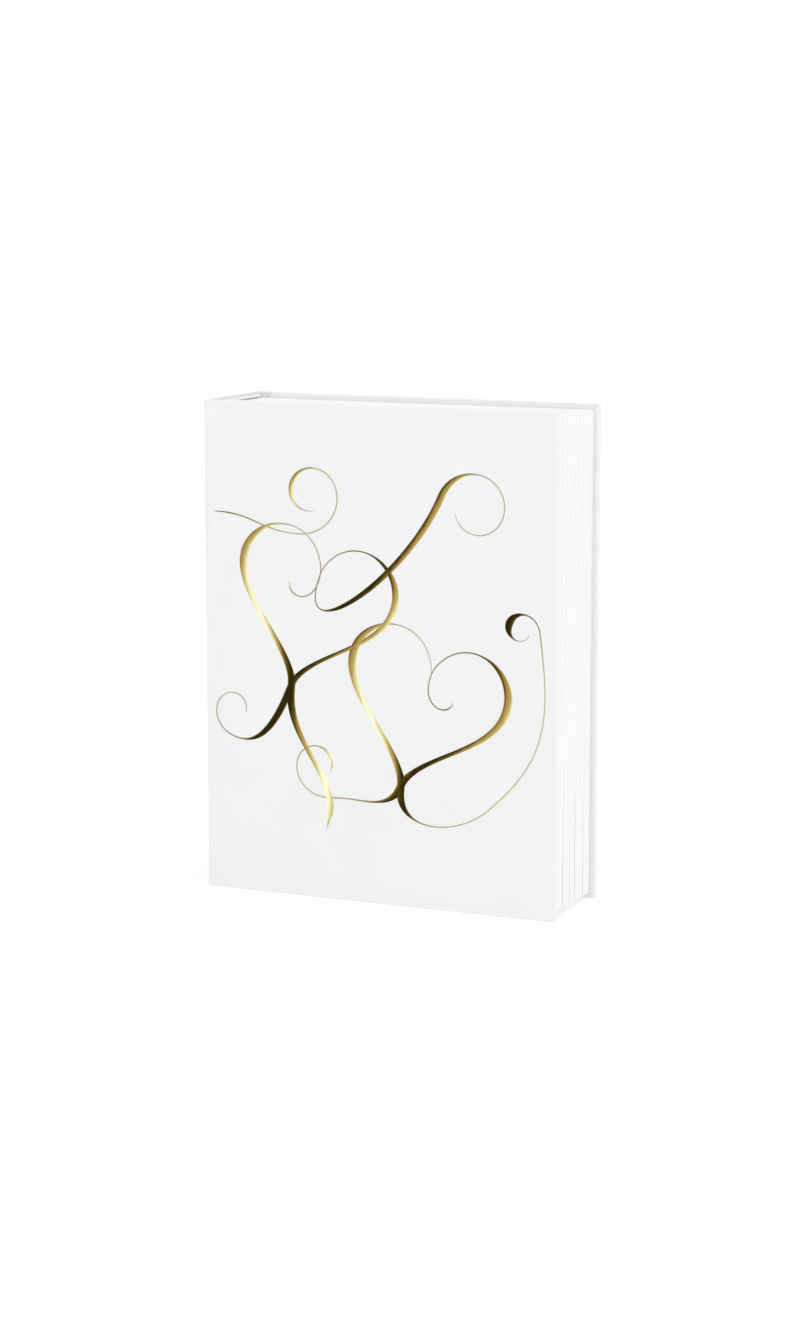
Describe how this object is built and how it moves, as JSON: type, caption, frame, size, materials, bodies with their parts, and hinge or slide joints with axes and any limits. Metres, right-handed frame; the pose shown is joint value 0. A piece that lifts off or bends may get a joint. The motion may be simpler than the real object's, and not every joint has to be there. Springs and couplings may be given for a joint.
{
  "type": "wedding guest book",
  "caption": "Upright case-bound guest book with smooth white covers, gold foil heart ornament, sewn sections, flyleaves and two opening covers.",
  "frame": {"origin": "under the middle of the closed book, on the plane that it stands on", "axes": "+X from the spine to the fore edge, +Y from the front cover to the back cover, +Z from tail to head"},
  "size_m": [0.187, 0.0572, 0.245],
  "materials": {
    "covering_paper": "smooth matt white covering paper",
    "greyboard": "dense grey binder's board, hidden",
    "endpaper": "smooth heavy white paper",
    "leaf_paper": "thick uncoated white paper",
    "kraft_lining": "brown kraft paper, hidden",
    "mull_gauze": "open starched cotton gauze, hidden",
    "cotton_tape": "woven cotton tape, hidden",
    "linen_thread": "waxed linen thread",
    "band_silk": "woven white band with a rounded bead",
    "gold_foil": "bright hot-stamped gold foil"
  },
  "bodies": {
    "spine": {"spine_board": "greyboard", "spine_covering": "covering_paper", "spine_lining": "kraft_lining", "mull": "mull_gauze", "sewing_tape_1": "cotton_tape", "sewing_tape_2": "cotton_tape", "sewing_tape_3": "cotton_tape", "headband": "band_silk", "tailband": "band_silk", "head_kettle_stitch": "linen_thread", "tail_kettle_stitch": "linen_thread"},
    "front_cover": {"front_cover_board": "greyboard", "front_cover_covering": "covering_paper", "front_cover_joint_lining": "endpaper", "front_cover_mull_flange": "mull_gauze", "front_cover_pastedown": "endpaper", "foil_ornament": "gold_foil"},
    "back_cover": {"back_cover_board": "greyboard", "back_cover_covering": "covering_paper", "back_cover_joint_lining": "endpaper", "back_cover_mull_flange": "mull_gauze", "back_cover_pastedown": "endpaper"},
    "front_flyleaf": {"front_flyleaf": "endpaper"},
    "section_01": {"section_01": "leaf_paper"},
    "section_02": {"section_02": "leaf_paper"},
    "section_03": {"section_03": "leaf_paper"},
    "section_04": {"section_04": "leaf_paper"},
    "section_05": {"section_05": "leaf_paper"},
    "section_06": {"section_06": "leaf_paper"},
    "section_07": {"section_07": "leaf_paper"},
    "section_08": {"section_08": "leaf_paper"},
    "section_09": {"section_09": "leaf_paper"},
    "section_10": {"section_10": "leaf_paper"},
    "section_11": {"section_11": "leaf_paper"},
    "section_12": {"section_12": "leaf_paper"},
    "section_13": {"section_13": "leaf_paper"},
    "section_14": {"section_14": "leaf_paper"},
    "section_15": {"section_15": "leaf_paper"},
    "section_16": {"section_16": "leaf_paper"},
    "section_17": {"section_17": "leaf_paper"},
    "section_18": {"section_18": "leaf_paper"},
    "section_19": {"section_19": "leaf_paper"},
    "section_20": {"section_20": "leaf_paper"},
    "section_21": {"section_21": "leaf_paper"},
    "section_22": {"section_22": "leaf_paper"},
    "back_flyleaf": {"back_flyleaf": "endpaper"}
  },
  "joints": [
    {"name": "front_cover_hinge", "type": "hinge", "parent": "spine", "child": "front_cover", "pos_m": [-0.0905, -0.0287, 0.1225], "axis": [0, 0, -1], "range_deg": [0, 180]},
    {"name": "back_cover_hinge", "type": "hinge", "parent": "spine", "child": "back_cover", "pos_m": [-0.0905, 0.0287, 0.1225], "axis": [0, 0, 1], "range_deg": [0, 180]},
    {"name": "section_01_fold", "type": "hinge", "parent": "spine", "child": "section_01", "pos_m": [-0.0891, -0.02339, 0.1225], "axis": [0, 0, -1], "range_deg": [0, 78.75]},
    {"name": "section_02_fold", "type": "hinge", "parent": "spine", "child": "section_02", "pos_m": [-0.0891, -0.02116, 0.1225], "axis": [0, 0, -1], "range_deg": [0, 71.25]},
    {"name": "section_03_fold", "type": "hinge", "parent": "spine", "child": "section_03", "pos_m": [-0.0891, -0.01893, 0.1225], "axis": [0, 0, -1], "range_deg": [0, 63.75]},
    {"name": "section_04_fold", "type": "hinge", "parent": "spine", "child": "section_04", "pos_m": [-0.0891, -0.0167, 0.1225], "axis": [0, 0, -1], "range_deg": [0, 56.25]},
    {"name": "section_05_fold", "type": "hinge", "parent": "spine", "child": "section_05", "pos_m": [-0.0891, -0.01448, 0.1225], "axis": [0, 0, -1], "range_deg": [0, 48.75]},
    {"name": "section_06_fold", "type": "hinge", "parent": "spine", "child": "section_06", "pos_m": [-0.0891, -0.01225, 0.1225], "axis": [0, 0, -1], "range_deg": [0, 41.25]},
    {"name": "section_07_fold", "type": "hinge", "parent": "spine", "child": "section_07", "pos_m": [-0.0891, -0.01002, 0.1225], "axis": [0, 0, -1], "range_deg": [0, 33.75]},
    {"name": "section_08_fold", "type": "hinge", "parent": "spine", "child": "section_08", "pos_m": [-0.0891, -0.0078, 0.1225], "axis": [0, 0, -1], "range_deg": [0, 26.25]},
    {"name": "section_09_fold", "type": "hinge", "parent": "spine", "child": "section_09", "pos_m": [-0.0891, -0.00557, 0.1225], "axis": [0, 0, -1], "range_deg": [0, 18.75]},
    {"name": "section_10_fold", "type": "hinge", "parent": "spine", "child": "section_10", "pos_m": [-0.0891, -0.00334, 0.1225], "axis": [0, 0, -1], "range_deg": [0, 11.25]},
    {"name": "section_11_fold", "type": "hinge", "parent": "spine", "child": "section_11", "pos_m": [-0.0891, -0.00111, 0.1225], "axis": [0, 0, -1], "range_deg": [0, 3.75]},
    {"name": "section_12_fold", "type": "hinge", "parent": "spine", "child": "section_12", "pos_m": [-0.0891, 0.00111, 0.1225], "axis": [0, 0, 1], "range_deg": [0, 3.75]},
    {"name": "section_13_fold", "type": "hinge", "parent": "spine", "child": "section_13", "pos_m": [-0.0891, 0.00334, 0.1225], "axis": [0, 0, 1], "range_deg": [0, 11.25]},
    {"name": "section_14_fold", "type": "hinge", "parent": "spine", "child": "section_14", "pos_m": [-0.0891, 0.00557, 0.1225], "axis": [0, 0, 1], "range_deg": [0, 18.75]},
    {"name": "section_15_fold", "type": "hinge", "parent": "spine", "child": "section_15", "pos_m": [-0.0891, 0.0078, 0.1225], "axis": [0, 0, 1], "range_deg": [0, 26.25]},
    {"name": "section_16_fold", "type": "hinge", "parent": "spine", "child": "section_16", "pos_m": [-0.0891, 0.01002, 0.1225], "axis": [0, 0, 1], "range_deg": [0, 33.75]},
    {"name": "section_17_fold", "type": "hinge", "parent": "spine", "child": "section_17", "pos_m": [-0.0891, 0.01225, 0.1225], "axis": [0, 0, 1], "range_deg": [0, 41.25]},
    {"name": "section_18_fold", "type": "hinge", "parent": "spine", "child": "section_18", "pos_m": [-0.0891, 0.01448, 0.1225], "axis": [0, 0, 1], "range_deg": [0, 48.75]},
    {"name": "section_19_fold", "type": "hinge", "parent": "spine", "child": "section_19", "pos_m": [-0.0891, 0.0167, 0.1225], "axis": [0, 0, 1], "range_deg": [0, 56.25]},
    {"name": "section_20_fold", "type": "hinge", "parent": "spine", "child": "section_20", "pos_m": [-0.0891, 0.01893, 0.1225], "axis": [0, 0, 1], "range_deg": [0, 63.75]},
    {"name": "section_21_fold", "type": "hinge", "parent": "spine", "child": "section_21", "pos_m": [-0.0891, 0.02116, 0.1225], "axis": [0, 0, 1], "range_deg": [0, 71.25]},
    {"name": "section_22_fold", "type": "hinge", "parent": "spine", "child": "section_22", "pos_m": [-0.0891, 0.02339, 0.1225], "axis": [0, 0, 1], "range_deg": [0, 78.75]},
    {"name": "front_flyleaf_fold", "type": "hinge", "parent": "spine", "child": "front_flyleaf", "pos_m": [-0.0891, -0.02476, 0.1225], "axis": [0, 0, -1], "range_deg": [0, 90]},
    {"name": "back_flyleaf_fold", "type": "hinge", "parent": "spine", "child": "back_flyleaf", "pos_m": [-0.0891, 0.02476, 0.1225], "axis": [0, 0, 1], "range_deg": [0, 90]}
  ],
  "couplings": [
    {"joint": "section_01_fold", "follows": "front_cover_hinge", "ratio": 0.4375},
    {"joint": "section_02_fold", "follows": "front_cover_hinge", "ratio": 0.39583},
    {"joint": "section_03_fold", "follows": "front_cover_hinge", "ratio": 0.35417},
    {"joint": "section_04_fold", "follows": "front_cover_hinge", "ratio": 0.3125},
    {"joint": "section_05_fold", "follows": "front_cover_hinge", "ratio": 0.27083},
    {"joint": "section_06_fold", "follows": "front_cover_hinge", "ratio": 0.22917},
    {"joint": "section_07_fold", "follows": "front_cover_hinge", "ratio": 0.1875},
    {"joint": "section_08_fold", "follows": "front_cover_hinge", "ratio": 0.14583},
    {"joint": "section_09_fold", "follows": "front_cover_hinge", "ratio": 0.10417},
    {"joint": "section_10_fold", "follows": "front_cover_hinge", "ratio": 0.0625},
    {"joint": "section_11_fold", "follows": "front_cover_hinge", "ratio": 0.020833},
    {"joint": "section_12_fold", "follows": "back_cover_hinge", "ratio": 0.020833},
    {"joint": "section_13_fold", "follows": "back_cover_hinge", "ratio": 0.0625},
    {"joint": "section_14_fold", "follows": "back_cover_hinge", "ratio": 0.10417},
    {"joint": "section_15_fold", "follows": "back_cover_hinge", "ratio": 0.14583},
    {"joint": "section_16_fold", "follows": "back_cover_hinge", "ratio": 0.1875},
    {"joint": "section_17_fold", "follows": "back_cover_hinge", "ratio": 0.22917},
    {"joint": "section_18_fold", "follows": "back_cover_hinge", "ratio": 0.27083},
    {"joint": "section_19_fold", "follows": "back_cover_hinge", "ratio": 0.3125},
    {"joint": "section_20_fold", "follows": "back_cover_hinge", "ratio": 0.35417},
    {"joint": "section_21_fold", "follows": "back_cover_hinge", "ratio": 0.39583},
    {"joint": "section_22_fold", "follows": "back_cover_hinge", "ratio": 0.4375},
    {"joint": "front_flyleaf_fold", "follows": "front_cover_hinge", "ratio": 0.5},
    {"joint": "back_flyleaf_fold", "follows": "back_cover_hinge", "ratio": 0.5}
  ]
}
